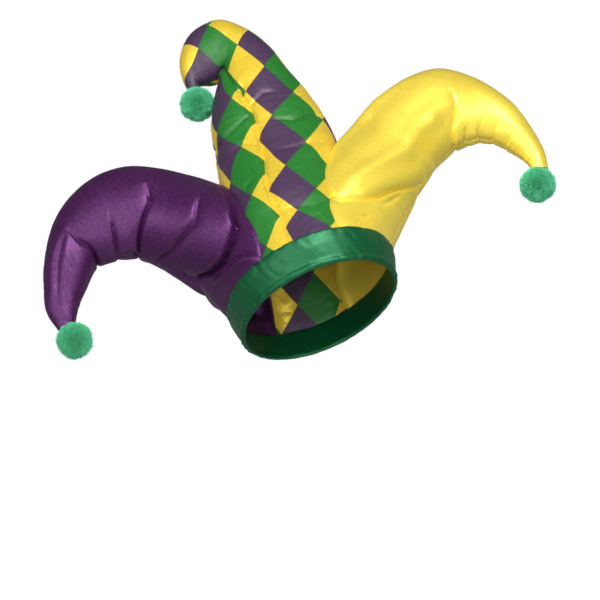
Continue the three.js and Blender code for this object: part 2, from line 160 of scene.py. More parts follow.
HARLEQUIN_CREASES = [
    (7.5, 9.0, 3.2, 0.8, 0.6, [(0.425, 0.40), (0.333, 0.436), (0.255, 0.431), (0.199, 0.442), (0.125, 0.447),
                               (0.089, 0.453), (0.005, 0.49)]),
    (6.0, 3.0, 7.0, 0.8, 0.1, [(0.425, 0.40), (0.46, 0.34), (0.56, 0.20), (0.70, 0.06)]),
    (4.5, 2.4, 7.0, 0.3, 0.6, [(0.329, 0.425), (0.311, 0.314), (0.300, 0.17), (0.295, 0.0)]),
    (3.4, 5.0, 2.4, 0.1, 0.4, [(0.292, 0.50), (0.275, 0.63), (0.295, 0.786), (0.283, 0.90)]),
    (2.2, 3.0, 5.0, 0.0, 0.2, [(0.20, 0.47), (0.19, 0.60), (0.205, 0.74)]),
    (2.2, 4.0, 3.0, 0.0, 0.2, [(0.150, 0.43), (0.135, 0.33), (0.142, 0.18)]),
    (2.0, 3.0, 4.0, 0.0, 0.2, [(0.065, 0.46), (0.050, 0.58), (0.06, 0.70)]),
    (1.8, 2.5, 4.0, 0.3, 0.0, [(0.36, 0.44), (0.39, 0.54), (0.38, 0.64)]),
    (1.8, 2.5, 4.0, 0.3, 0.0, [(0.23, 0.42), (0.25, 0.34), (0.24, 0.24)]),
]

# Puckers along a seam. Columns: seam (0 upper, 1 lower), from, to, spacing, reach and depth in mm
PURPLE_PUCKERS = [(0, 0.05, 0.95, 15, 9, 0.7), (1, 0.22, 0.70, 14, 13, 1.0), (1, 0.70, 0.97, 9, 9, 0.7)]
YELLOW_PUCKERS = [(0, 0.05, 0.95, 15, 9, 0.8), (1, 0.20, 0.55, 13, 14, 0.9), (1, 0.55, 0.97, 8, 14, 1.0)]
HARLEQUIN_PUCKERS = [(0, 0.05, 0.45, 12, 12, 1.2), (0, 0.45, 0.97, 7, 9, 1.3), (1, 0.03, 0.97, 13, 9, 0.9)]

# The harlequin cloth's print, counted in halves of a diamond. Columns: per metre across the flat panel, per
# metre up it, and the count at its origin
PRINT_COLUMN = (40.5, -4.8, 0.01)
PRINT_ROW = (8.9, 28.4, -7.145)
EASE_REACH = 0.022  # how far one eased corner draws its surroundings
EVEN_WEIGHT = 0.25  # how strongly the even grid holds against the eased corners
# Corners of diamonds where the cloth is eased over the stuffing. Columns: flat panel right and up in mm,
# then column and row on the print. The first table is right of the valley, the second left of it.
RIGHT_CORNERS = [
    (17, 208, 0, -1), (11, 132, 0, -3), (5, 69, 0, -5), (37, 283, 0, 1), (56, 239, 1, 0), (44, 160, 1, -2),
    (32, 87, 1, -4), (-1, 256, -1, 0), (-3, 189, -1, -2), (-13, 110, -1, -4), (-16, 55, -1, -6),
    (83, 200, 2, -1), (51, 298, 1, 2), (20, 323, -1, 2), (23, 336, 0, 3), (-5, 288, -2, 1),
    (-16, 333, -3, 2), (-14, 360, -2, 3), (34, 43, 1, -6),
]
LEFT_CORNERS = [
    (-12, 241, -2, 1), (-22, 178, -2, -1), (-30, 109, -2, -3), (-37, 44, -2, -5), (-49, 215, -3, 0),
    (-49, 132, -3, -2), (-55, 63, -3, -4), (-14, 68, -1, -4),
]
# The valley between them: along, across
VALLEY = [(0.005, 0.49), (0.089, 0.453), (0.125, 0.447), (0.199, 0.442), (0.255, 0.431), (0.333, 0.436),
          (0.425, 0.40), (0.46, 0.34), (0.56, 0.20), (0.70, 0.06), (0.76, -0.10)]
BACK_SHIFT = np.array([0.021, 0.013])  # the back panel is cut from another part of the cloth

# How a crease is shaped, in metres and shares
CREASE_ROUNDING = 0.5 * MM
CREASE_CORE = 2.2 * MM  # the drawn-in middle
CREASE_CORE_SHARE = 0.3
CREASE_FADE = 0.3  # the share of its line over which it fades at each end
# Behind, a crease is scaled and shifted along the horn, and is this deep
BACK_CREASE_SCALE, BACK_CREASE_SHIFT, BACK_CREASE_DEPTH = 0.93, 0.05, 0.75
PUCKER_JITTER, PUCKER_SLANT = 0.4, 0.35
PUCKER_REACH, PUCKER_WIDTH, PUCKER_DEPTH = (0.5, 1.4), (0.12, 0.22), (0.4, 1.2)
SEAM_GROOVE_DEPTH, SEAM_GROOVE_WIDTH = 0.3 * MM, 1.6 * MM
FINE_START = 0.04  # the small folds grow from nothing over this share of the horn

# Swells of the stuffing and wrinkles of the cloth, in metres. Columns: length along, length across, height
WARP = (0.050, 0.050, 0.010)
SWELL = (0.042, 0.050, 0.0022)
WRINKLE_LINE = (0.017, 0.055, 1.0)
WRINKLED_AREA = (0.060, 0.060, 1.0)
CRUMPLE = (0.014, 0.022, 0.00025)
WRINKLE_HEIGHT = 0.0012
WRINKLED_SHARE = 0.35  # raises how much of the cloth is wrinkled
WRINKLE_AT_TOP = 0.2  # wrinkles are this strong at the upper seam, and strongest at the lower one
CALM_AT_SEAM = 0.006
BACK_OFFSET = 0.7  # keeps the back's wrinkles unlike the front's

# The cuff's section. Columns: out in depths of padding, up in heights of the cuff. From the lower edge up the
# outer face, across the top, down the inner face and round the roll
CUFF_SECTION = [
    (0.35, 0.00), (0.80, 0.00), (1.12, 0.04), (1.28, 0.10), (1.02, 0.17), (0.92, 0.22), (1.12, 0.42),
    (1.20, 0.65), (1.14, 0.88), (0.95, 1.03), (0.60, 1.07), (0.20, 1.05), (0.00, 0.95),
    (0.00, 0.60), (0.00, 0.30), (0.02, 0.08),
]
RIM_RADIUS = 0.095  # mean radius, to measure lengths round the cuff
CUFF_PUCKER, CUFF_DRAG, CUFF_FINE_DRAG, CUFF_WAVE = 0.0007, 0.0003, 0.0003, 0.0004


# ---- curves and skins

LATTICE = 64
SPINE_STEPS = 400


def through(points, share):
    """Centripetal Catmull-Rom curve through rows of points, at shares from 0 to 1."""
    points = np.asarray(points, float)
    last = len(points) - 1
    place = np.clip(np.asarray(share, float), 0, 1) * last
    step = np.minimum(place.astype(int), last - 1)
    w = (place - step)[:, None]
    padded = np.vstack([2 * points[0] - points[1], points, 2 * points[-1] - points[-2]])
    p0, p1, p2, p3 = (padded[step + k] for k in range(4))
    gap = lambda a, b: np.maximum(np.linalg.norm(b - a, axis=1) ** 0.5, 1e-6)[:, None]
    d0, d1, d2 = gap(p0, p1), gap(p1, p2), gap(p2, p3)
    t1 = ((p1 - p0) / d0 - (p2 - p0) / (d0 + d1) + (p2 - p1) / d1) * d1
    t2 = ((p2 - p1) / d1 - (p3 - p1) / (d1 + d2) + (p3 - p2) / d2) * d1
    return p1 + t1 * w + (3 * (p2 - p1) - 2 * t1 - t2) * w**2 + (2 * (p1 - p2) + t1 + t2) * w**3


def rim_radius(angle, across, along, turn):
    a = angle - turn
    return across * along / np.hypot(along * np.cos(a), across * np.sin(a))


def turn_base(points):
    """Turn of the rim under the horns, fading out upwards."""
    fade = np.clip((points[..., 2] - SEAM_HEIGHT) / BASE_WIDTH, 0, 1)
    fade = fade * fade * (3 - 2 * fade)
    angle = np.arctan2(points[..., 1], points[..., 0])
    straight = rim_radius(angle, BASE_WIDTH, BASE_LENGTH, 0)
    turned = rim_radius(angle, BASE_WIDTH, BASE_LENGTH, RIM_TURN)
    scale = turned / straight * (1 - fade) + fade
    return points * np.stack([scale, scale, np.ones_like(scale)], -1)


def smooth_noise(u, v, seed):
    """Value noise of size 1, from -1 to 1, on a square lattice."""
    draw = np.random.default_rng(seed).uniform(-1, 1, (LATTICE, LATTICE))
    iu, iv = np.floor(u).astype(int), np.floor(v).astype(int)
    fu, fv = u - iu, v - iv
    fu, fv = fu * fu * (3 - 2 * fu), fv * fv * (3 - 2 * fv)
    at = lambda a, b: draw[a % LATTICE, b % LATTICE]
    low = at(iu, iv) * (1 - fu) + at(iu + 1, iv) * fu
    high = at(iu, iv + 1) * (1 - fu) + at(iu + 1, iv + 1) * fu
    return low * (1 - fv) + high * fv


def waves(v, u, size, seed):
    """Noise of the lengths and the height that a row of sizes names."""
    along, across, height = size
    return smooth_noise(v / along, u / across, seed) * height


def print_places(flat, corners):
    """Column and row on the harlequin print, for places on the flat panel in metres."""
    even = lambda x, z: np.stack([a * x + b * z + c for a, b, c in (PRINT_COLUMN, PRINT_ROW)], -1)
    total = even(flat[..., 0], flat[..., 1])
    weights = EVEN_WEIGHT
    eased = 0.0
    for x, z, column, row in corners:
        x, z = x * MM, z * MM
        near = np.exp(-((flat[..., 0] - x) ** 2 + (flat[..., 1] - z) ** 2) / (2 * EASE_REACH**2))[..., None]
        eased = eased + near * (np.array([column, row]) - even(x, z))
        weights = weights + near
    return total + eased / weights


class Horn:
    """A horn's cloth: sections between two seams, with creases, puckers and swells pushed into them."""

    def __init__(self, rows, creases, puckers, side, reach, rise, depth, base, hang, wrinkled, seed):
        rows = np.array(rows)
        self.creases, self.puckers, self.side = creases, puckers, side
        self.wrinkled, self.seed, self.pushes = wrinkled, seed, {}
        self.top = np.vstack([base[0], np.stack([side * rows[:, 0] * reach, 0 * rows[:, 0], rows[:, 1] * rise], 1)])
        self.low = np.vstack([base[1], np.stack([side * rows[:, 2] * reach, 0 * rows[:, 0], rows[:, 3] * rise], 1)])
        self.numbers = np.vstack([base[2], np.stack([rows[:, 4], rows[:, 5] * depth / MM, rows[:, 6]], 1)])
        fine = np.linspace(0, 1, SPINE_STEPS)
        spine = (through(self.top, fine) + through(self.low, fine)) / 2
        self.spine, self.spine_share = spine, fine
        self.spine_length = np.concatenate([[0], np.cumsum(np.linalg.norm(np.diff(spine, axis=0), axis=1))])
        self.tip = spine[-1]
        self.heading = np.array([-side * math.sin(hang), 0, -math.cos(hang)])
        seams = [np.linalg.norm(np.diff(through(c, fine), axis=0), axis=1).sum() for c in (self.top, self.low)]
        self.length = sum(seams) / 2

    def crease_push(self, along, across, girth, crease):
        """How far one crease draws the cloth in. Across runs from 0 to 1 on its own face, and on to 2 behind."""
        depth, tipward, baseward, start, end, line = crease
        nearest = np.full(across.shape, 9.0)
        width = np.ones(across.shape)
        place = np.zeros(across.shape)
        legs = list(zip(line[:-1], line[1:]))
        for number, ((a0, c0), (a1, c1)) in enumerate(legs):
            lx, ly = (a1 - a0) * self.length, (c1 - c0) * girth
            for unwrapped in (across, across - 2):
                hx, hy = (along - a0) * self.length, (unwrapped - c0) * girth
                share = np.clip((hx * lx + hy * ly) / (lx**2 + ly**2), 0, 1)
                distance = np.hypot(hx - share * lx, hy - share * ly)
                closer = distance < nearest
                lean = (lx * hy - ly * hx) / (np.hypot(lx, ly) * np.maximum(distance, 1e-6))
                lean = np.clip(lean, -1, 1) * 0.5 + 0.5
                nearest = np.where(closer, distance, nearest)
                width = np.where(closer, (tipward + (baseward - tipward) * lean) * MM, width)
                place = np.where(closer, (number + share) / len(legs), place)
        ends = np.minimum(start + (1 - start) * np.clip(place / CREASE_FADE, 0, 1),
                          end + (1 - end) * np.clip((1 - place) / CREASE_FADE, 0, 1))
        if depth < 0:  # a ridge
            shape = np.exp(-((nearest / width) ** 2))
        else:
            rounded = np.sqrt(nearest**2 + CREASE_ROUNDING**2) - CREASE_ROUNDING
            core = np.exp(-((nearest / CREASE_CORE) ** 2))
            shape = (1 - CREASE_CORE_SHARE) * np.exp(-rounded / width) + CREASE_CORE_SHARE * core
        return depth * MM * ends * shape

    def seam_push(self, along, across, girth):
        """Puckers: short grooves square to the seams, where the stitching draws the cloth up."""
        total = np.zeros_like(across)
        draw = np.random.default_rng(self.seed)
        for seam, first, last, spacing, reach, depth in self.puckers:
            edge = np.abs(seam - across) * girth
            v = along * self.length
            count = int((last - first) * self.length / (spacing * MM))
            for number in range(count):
                jitter = draw.uniform(-PUCKER_JITTER, PUCKER_JITTER)
                place = first * self.length + (number + jitter) * spacing * MM
                slant = draw.uniform(-PUCKER_SLANT, PUCKER_SLANT)
                far = reach * MM * draw.uniform(*PUCKER_REACH)
                wide = spacing * MM * draw.uniform(*PUCKER_WIDTH)
                groove = np.exp(-np.abs(v - place - slant * edge) / wide)
                total += depth * MM * draw.uniform(*PUCKER_DEPTH) * groove * np.exp(-((edge / far) ** 2))
            total += SEAM_GROOVE_DEPTH * np.exp(-((edge / SEAM_GROOVE_WIDTH) ** 2))
        return total

    def ripple(self, along, across, girth, back):
        """Soft swells of the stuffing and wrinkles of the cloth, none at the seams."""
        v = along * self.length + BACK_OFFSET * back
        u = across * girth
        edge = np.minimum(across, 1 - across) * girth
        fade = 1 - np.exp(-((edge / CALM_AT_SEAM) ** 2))
        warp = waves(v, u, WARP, self.seed + 9)
        swell = waves(v + warp, u - warp, SWELL, self.seed + 1)
        line = waves(v + warp, u + 2 * warp, WRINKLE_LINE, self.seed + 2)
        mask = np.clip(waves(v, u, WRINKLED_AREA, self.seed + 3) + WRINKLED_SHARE, 0, 1)
        fold = (1 - np.abs(line)) ** 3 * mask * WRINKLE_HEIGHT
        crumple = waves(v - warp, u + warp, CRUMPLE, self.seed + 4)
        return fade * (swell + self.wrinkled * (fold * (WRINKLE_AT_TOP + across**2) + crumple))

    def push(self, along, across, girth, back):
        """How far all folds push the cloth in."""
        total = np.zeros_like(across)
        front_across = np.where(back > 0, 2 - across, across)
        back_across = np.where(back > 0, across, 2 - across)
        for crease in self.creases:
            total += self.crease_push(along, front_across, girth, crease)
            moved = [(a * BACK_CREASE_SCALE + BACK_CREASE_SHIFT, c) for a, c in crease[-1]]
            behind = self.crease_push(along, back_across, girth, crease[:-1] + (moved,))
            total += BACK_CREASE_DEPTH * behind
        grown = np.clip(along / FINE_START, 0, 1)
        return total + grown * (self.seam_push(along, across, girth) + self.ripple(along, across, girth, back))

    def grid(self, rows, columns, grow, end):
        """Points round the horn, row by row, with its folds and without, and each row's share along it."""
        along = np.linspace(0, end, rows + 1)
        top, low, numbers = (through(c, along) for c in (self.top, self.low, self.numbers))
        across = low - top
        width = np.linalg.norm(across, axis=1)
        across /= width[:, None]
        share, depth, full = numbers[:, 0], numbers[:, 1] * MM, numbers[:, 2]
        belly = top + across * (share * width)[:, None]
        turn = 2 * np.pi * np.arange(columns) / columns
        cos, sin = np.cos(turn)[None, :], np.sin(turn)[None, :]
        power = (2 / full)[:, None]
        reach = np.where(cos > 0, (share * width)[:, None], ((1 - share) * width)[:, None])
        points = belly[:, None, :] - across[:, None, :] * (
            np.sign(cos) * (reach + grow) * np.abs(cos) ** power
        )[..., None]
        points[..., 1] -= np.sign(sin) * (depth[:, None] + grow) * np.abs(sin) ** power
        face = np.where(turn <= np.pi, turn / np.pi, 2 - turn / np.pi)[None, :] + 0 * cos
        girth = (np.pi * np.hypot(width / 2, depth) * math.sqrt(0.5))[:, None]
        inward = belly[:, None, :] - points
        inward /= np.maximum(np.linalg.norm(inward, axis=2, keepdims=True), 1e-9)
        face = np.broadcast_to(face, (rows + 1, columns))
        along2 = np.broadcast_to(along[:, None], face.shape)
        back = np.where(turn <= np.pi, 0.0, 1.0)[None, :] + 0 * face
        if (rows, columns, end) not in self.pushes:
            self.pushes[rows, columns, end] = self.push(along2, face, girth + 0 * face, back)
        folded = points + inward * self.pushes[rows, columns, end][..., None]
        return turn_base(folded), points, along

    def skin(self, name, rows, columns, grow=0.0, drop=0.0, end=1.0, flat=False):
        """Closed body with a map of its cloth in metres: along the horn, or as the flat panel was cut."""
        points, plain, along = self.grid(rows, columns, grow, end)
        if drop:
            foot = points[:1].copy()
            foot[..., 2] -= drop
            points = np.concatenate([foot, points])
            plain = np.concatenate([plain[:1], plain])
            along = np.concatenate([[0], along])
        height = np.interp(along, self.spine_share, self.spine_length)
        arcs = np.linalg.norm(np.roll(plain, -1, axis=1) - plain, axis=2)
        half = columns // 2
        front = np.concatenate([np.zeros((len(points), 1)), np.cumsum(arcs[:, :half], axis=1)], 1)
        back = np.concatenate([np.zeros((len(points), 1)), np.cumsum(arcs[:, half:][:, ::-1], axis=1)], 1)
        front -= front[:, -1:] / 2
        back -= back[:, -1:] / 2
        level = np.stack([np.interp(along, self.spine_share, self.spine[:, k]) for k in (0, 2)], 1)[:, None]
        out = (through(self.low, along) - through(self.top, along))[:, None, [0, 2]]
        out /= np.linalg.norm(out, axis=2, keepdims=True)
        up = height[:, None] + 0 * front
        cloth_maps = [np.stack([front, up], -1), np.stack([back, up], -1)]
        panels = [level + out * front[..., None], level + out * back[..., None] + BACK_SHIFT]
        prints = {}
        if flat:
            right, left = (print_places(panels[0], corners) for corners in (RIGHT_CORNERS, LEFT_CORNERS))
            behind = print_places(panels[1], [])
            girth = -2 * front[:, :1]
            past = (np.arange(half + 1) / half - np.interp(along, *np.array(VALLEY).T)[:, None]) * girth
            past = np.stack([past, 0 * past], -1)
            prints = {"print": [right, behind], "left_print": [left, behind], "past_valley": [past, 0 * past + 1]}
        prints["cloth"] = cloth_maps
        maps = {label: [] for label in prints}
        verts = points.reshape(-1, 3)
        faces = []
        count = len(points)
        for r in range(count - 1):
            for c in range(columns):
                d = (c + 1) % columns
                quad = [r * columns + c, r * columns + d, (r + 1) * columns + d, (r + 1) * columns + c]
                side, at = 0, (c, c + 1, c + 1, c)
                if c >= half:
                    k = columns - c
                    side, at = 1, (k, k - 1, k - 1, k)
                spots = list(zip((r, r, r + 1, r + 1), at))
                if self.side < 0:
                    quad, spots = quad[::-1], spots[::-1]
                faces.append(quad)
                for label, places in prints.items():
                    maps[label].append([places[side][q] for q in spots])
        for r, outward in ((0, False), (count - 1, True)):
            ring = [r * columns + c for c in range(columns)]
            if outward == (self.side < 0):
                ring = ring[::-1]
            faces.append(ring)
            for label in prints:
                maps[label].append([(0.0, 0.0)] * columns)
        return mesh_object(name, verts, faces, maps)


def mesh_object(name, verts, faces, maps=None):
    mesh = bpy.data.meshes.new(name)
    mesh.from_pydata([tuple(p) for p in verts], [], faces)
    for label, corners in (maps or {}).items():
        layer = mesh.uv_layers.new(name=label)
        layer.data.foreach_set("uv", np.concatenate([np.asarray(uv, float).reshape(-1) for uv in corners]))
    mesh.validate()
    piece = bpy.data.objects.new(name, mesh)
    bpy.context.scene.collection.objects.link(piece)
    return piece


def cut(piece, tools):
    """Takes the tools' bodies away from a piece, and keeps the result as a plain mesh."""
    for tool in tools:
        modifier = piece.modifiers.new("cut", "BOOLEAN")
        modifier.operation = "DIFFERENCE"
        modifier.solver = "MANIFOLD"
        modifier.object = tool
    bpy.context.view_layer.update()
    evaluated = piece.evaluated_get(bpy.context.evaluated_depsgraph_get())
    mesh = bpy.data.meshes.new_from_object(evaluated)
    piece.modifiers.clear()
    old = piece.data
    piece.data = mesh
    mesh.name = piece.name
    bpy.data.meshes.remove(old)


def smooth(piece, angle):
    piece.data.shade_smooth()
    piece.data.set_sharp_from_angle(angle=math.radians(angle))


# ---- materials


class Value:
    """A node's output that can be used in Python arithmetic."""

    def __init__(self, nodes, socket):
        self.nodes, self.socket = nodes, socket

    def _math(self, operation, *others):
        return self.nodes.make("ShaderNodeMath", {"operation": operation}, *([self] + list(others)))

    def __add__(self, other): return self._math("ADD", other)
    def __sub__(self, other): return self._math("SUBTRACT", other)
    def __rsub__(self, other): return self.nodes.make("ShaderNodeMath", {"operation": "SUBTRACT"}, other, self)
    def __mul__(self, other): return self._math("MULTIPLY", other)
    def __mod__(self, other): return self._math("FLOORED_MODULO", other)
    def __gt__(self, other): return self._math("GREATER_THAN", other)
    def __lt__(self, other): return self._math("LESS_THAN", other)
    def floor(self): return self._math("FLOOR")
    def absolute(self): return self._math("ABSOLUTE")
    def sine(self): return self._math("SINE")
    def clamp(self): return self.nodes.make("ShaderNodeClamp", {}, self)


class Nodes:
    """Builds one material's nodes."""

    def __init__(self, name):
        self.material = bpy.data.materials.new(name)
        self.material.use_nodes = True
        self.tree = self.material.node_tree
        self.tree.nodes.clear()

    def make(self, kind, settings, *values, output=0, **named):
        node = self.tree.nodes.new(kind)
        for key, value in settings.items():
            setattr(node, key, value)
        for socket, value in list(zip(node.inputs, values)) + [(node.inputs[k], v) for k, v in named.items()]:
            if isinstance(value, Value):
                self.tree.links.new(value.socket, socket)
            elif value is not None:
                socket.default_value = value
        return Value(self, node.outputs[output])

    def split(self, vector):
        node = self.tree.nodes.new("ShaderNodeSeparateXYZ")
        self.tree.links.new(vector.socket, node.inputs[0])
        return [Value(self, output) for output in node.outputs]

    def mix(self, factor, a, b):
        node = self.tree.nodes.new("ShaderNodeMix")
        node.data_type = "RGBA"
        for socket, value in ((node.inputs[0], factor), (node.inputs[6], a), (node.inputs[7], b)):
            if isinstance(value, Value):
                self.tree.links.new(value.socket, socket)
            else:
                socket.default_value = value
        return Value(self, node.outputs[2])

    def noise(self, where, scale, detail=2.0, roughness=0.5):
        return self.make("ShaderNodeTexNoise", {}, Vector=where, Scale=scale, Detail=detail, Roughness=roughness)

    def stretch(self, where, scale):
        return self.make("ShaderNodeVectorMath", {"operation": "MULTIPLY"}, where, scale)

    def bump(self, height, distance, strength=1.0, normal=None):
        return self.make("ShaderNodeBump", {}, Strength=strength, Distance=distance, Height=height, Normal=normal)

    def surface(self, **sockets):
        shader = self.make("ShaderNodeBsdfPrincipled", {}, **{k.replace("_", " "): v for k, v in sockets.items()})
        output = self.tree.nodes.new("ShaderNodeOutputMaterial")
        self.tree.links.new(shader.socket, output.inputs[0])
        return self.material


def linear(hex_colour):
    """Colour from a hex value as the screen shows it."""
    parts = [((hex_colour >> shift) & 255) / 255 for shift in (16, 8, 0)]
    return tuple(p / 12.92 if p <= 0.04045 else ((p + 0.055) / 1.055) ** 2.4 for p in parts) + (1.0,)


THREAD = 0.0005  # from one satin thread to the next
THREAD_HEIGHT, THREAD_STRENGTH = 0.00002, 0.6
SLUBS = (620.0, 260.0, 1.0)  # thick places in the threads, to a metre across and along
CRINKLES, PATCHES = 45.0, 22.0  # to a metre


def cloth_relief(nodes, where, crinkle, grain):
    """Bump of satin: threads, slubs along them, and small sharp crinkles."""
    u, v, _ = nodes.split(where)
    threads = (u * (2 * math.pi / THREAD)).sine() * (v * (2 * math.pi / (4 * THREAD))).sine()
    crinkles = (nodes.noise(where, CRINKLES, 2.0, 0.5) - 0.5).absolute() * 2
    slubs = nodes.noise(nodes.stretch(where, SLUBS), 1.0, 2.0, 0.6)
    small = nodes.bump(crinkles, crinkle)
    rough = nodes.bump(slubs, grain, normal=small)
    return nodes.bump(threads, THREAD_HEIGHT, THREAD_STRENGTH, rough)


def satin(name, shade, bright, roughness, metallic, contrast, grain):
    """Plain satin. Contrast is how far its tone varies, and grain is the height of its slubs in metres."""
    nodes = Nodes(name)
    where = nodes.make("ShaderNodeUVMap", {"uv_map": "cloth"})
    slubs = nodes.noise(nodes.stretch(where, SLUBS), 1.0, 2.0, 0.6)
    patches = nodes.noise(where, PATCHES, 3.0, 0.6)
    tone = ((slubs - 0.5) * contrast + (patches - 0.5) * 0.6 + 0.5).clamp()
    return nodes.surface(
        Base_Color=nodes.mix(tone, linear(shade), linear(bright)),
        Roughness=((slubs - 0.5) * 0.12 + roughness).clamp(),
        Metallic=metallic,
        Normal=cloth_relief(nodes, where, 0.0003, grain),
    )


def harlequin(name):
    """Printed satin. The diamonds are counted on the flat panel, on either side of the long valley."""
    nodes = Nodes(name)
    where = nodes.make("ShaderNodeUVMap", {"uv_map": "cloth"})
    past_valley, _, _ = nodes.split(nodes.make("ShaderNodeUVMap", {"uv_map": "past_valley"}))
    right_of_valley = past_valley > 0.0
    colours = []
    for label in ("left_print", "print"):
        across, up, _ = nodes.split(nodes.make("ShaderNodeUVMap", {"uv_map": label}))
        diamond = ((across + up) * 0.5 + 0.5).floor() + ((across - up) * 0.5 + 0.5).floor()
        colours.append(diamond % 3.0)
    colour = colours[0] + (colours[1] - colours[0]) * right_of_valley
    purple = colour < 0.5
    green = (colour > 0.5) * (colour < 1.5)
    slubs = nodes.noise(nodes.stretch(where, SLUBS), 1.0, 2.0, 0.6)
    patches = nodes.noise(where, PATCHES, 3.0, 0.6)
    tone = (slubs * 1.2 + patches * 0.5 - 0.35).clamp()
    yellow_tone = nodes.mix(tone, linear(PRINT_YELLOW[0]), linear(PRINT_YELLOW[1]))
    purple_tone = nodes.mix(tone, linear(PRINT_PURPLE[0]), linear(PRINT_PURPLE[1]))
    green_tone = nodes.mix(tone, linear(PRINT_GREEN[0]), linear(PRINT_GREEN[1]))
    printed = (purple + green).clamp()
    return nodes.surface(
        Base_Color=nodes.mix(green, nodes.mix(purple, yellow_tone, purple_tone), green_tone),
        Roughness=(printed * 0.16 + 0.28 + slubs * 0.12).clamp(),
        Metallic=(1 - printed) * 0.45,
        Normal=cloth_relief(nodes, where, 0.0011, 0.00003),
    )


def yarn(name):
    nodes = Nodes(name)
    body = nodes.make("ShaderNodeTexCoord", {}, output=3)
    strands = nodes.noise(body, 900.0, 2.0, 0.6)
    patches = nodes.noise(body, 90.0, 2.0, 0.5)
    base = nodes.mix((strands * 0.5 + patches * 0.5).clamp(), linear(YARN[0]), linear(YARN[1]))
    return nodes.surface(Base_Color=base, Roughness=0.95)


# Colours, each from its shade to its bright
PRINT_YELLOW, PRINT_PURPLE, PRINT_GREEN = (0xD2A81E, 0xF8E050), (0x301D37, 0x402A48), (0x0C5614, 0x196C1F)
YARN = (0x45BC88, 0x7CE4B4)
green_satin = satin("green_satin", 0x003E20, 0x00683A, roughness=0.42, metallic=0.50, contrast=1.2, grain=0.00010)
purple_satin = satin("purple_satin", 0x34103A, 0x5E2A66, roughness=0.42, metallic=0.60, contrast=1.9, grain=0.00025)
yellow_satin = satin("yellow_satin", 0xE8C43A, 0xFCEA60, roughness=0.33, metallic=0.52, contrast=1.0, grain=0.00005)
harlequin_satin = harlequin("harlequin_satin")
pompom_yarn = yarn("yarn")


# ---- horns


def side_base(side, junction):
    """First row of a side horn: its inner edge, its outer edge, and its belly, depth and fullness."""
    inner = INNER_EDGE * BASE_WIDTH
    return (
        (side * inner, 0, SEAM_HEIGHT),
        (side * BASE_WIDTH, 0, SEAM_HEIGHT),
        (
            (junction - INNER_EDGE) / (1 - INNER_EDGE),
            BASE_LENGTH * math.sqrt(1 - junction**2) / MM,
            ARC_FULLNESS,
        ),
    )


purple = Horn(PURPLE_ROWS, PURPLE_CREASES, PURPLE_PUCKERS, side=-1, reach=0.258, rise=0.228, depth=0.092,
              base=side_base(-1, PURPLE_JUNCTION), hang=math.radians(14), wrinkled=0.7, seed=11)
yellow = Horn(YELLOW_ROWS, YELLOW_CREASES, YELLOW_PUCKERS, side=1, reach=0.272, rise=0.224, depth=0.092,
              base=side_base(1, YELLOW_JUNCTION), hang=math.radians(26), wrinkled=0.5, seed=23)
middle_base = (
    (-MIDDLE_OVERLAP * PURPLE_JUNCTION * BASE_WIDTH, 0, SEAM_HEIGHT),
    (MIDDLE_OVERLAP * YELLOW_JUNCTION * BASE_WIDTH, 0, SEAM_HEIGHT),
    (0.5, BASE_LENGTH / MM, MIDDLE_FULLNESS),
)
middle = Horn(HARLEQUIN_ROWS, HARLEQUIN_CREASES, HARLEQUIN_PUCKERS, side=1, reach=0.128, rise=0.372, depth=0.098,
              base=middle_base, hang=math.radians(6), wrinkled=1.0, seed=37)

ROWS, COLUMNS = 330, 240
INNER_ROWS, INNER_COLUMNS = 130, 96


def hollow_end(horn):
    return 1 - CLOTH_WALL / horn.length


def horn_pieces():
    """The horns' cloth: hollow, open to one another, and clear of one another by the seam's gap."""
    outer = dict(rows=ROWS, columns=COLUMNS)
    inner = dict(rows=INNER_ROWS, columns=INNER_COLUMNS)
    horns = {"purple": purple, "middle": middle, "yellow": yellow}
    shell, inside, room = {}, {}, {}
    for name, horn in horns.items():
        flat = name == "middle"
        shell[name] = horn.skin(name + "_cloth", flat=flat, **outer)
        inside[name] = horn.skin(name + "_inside", grow=-CLOTH_WALL, drop=CLOTH_WALL, end=hollow_end(horn),
                                 flat=flat, **inner)
        if name != "middle":
            room[name] = horn.skin(name + "_room", grow=SEAM_GAP, drop=CLOTH_WALL, **outer)
    cut(shell["purple"], [inside["purple"], inside["middle"]])
    cut(shell["yellow"], [inside["yellow"], inside["middle"]])
    cut(shell["middle"], [inside["middle"], room["purple"], room["yellow"]])
    for tool in list(inside.values()) + list(room.values()):
        bpy.data.objects.remove(tool)
    return shell


cloth = horn_pieces()
for key, material in (("purple", purple_satin), ("yellow", yellow_satin), ("middle", harlequin_satin)):
    piece = cloth[key]
    piece.data.materials.clear()
    piece.data.materials.append(material)
    smooth(piece, 50)


# ---- cuff

CUFF_AROUND, CUFF_PROFILE = 420, 72


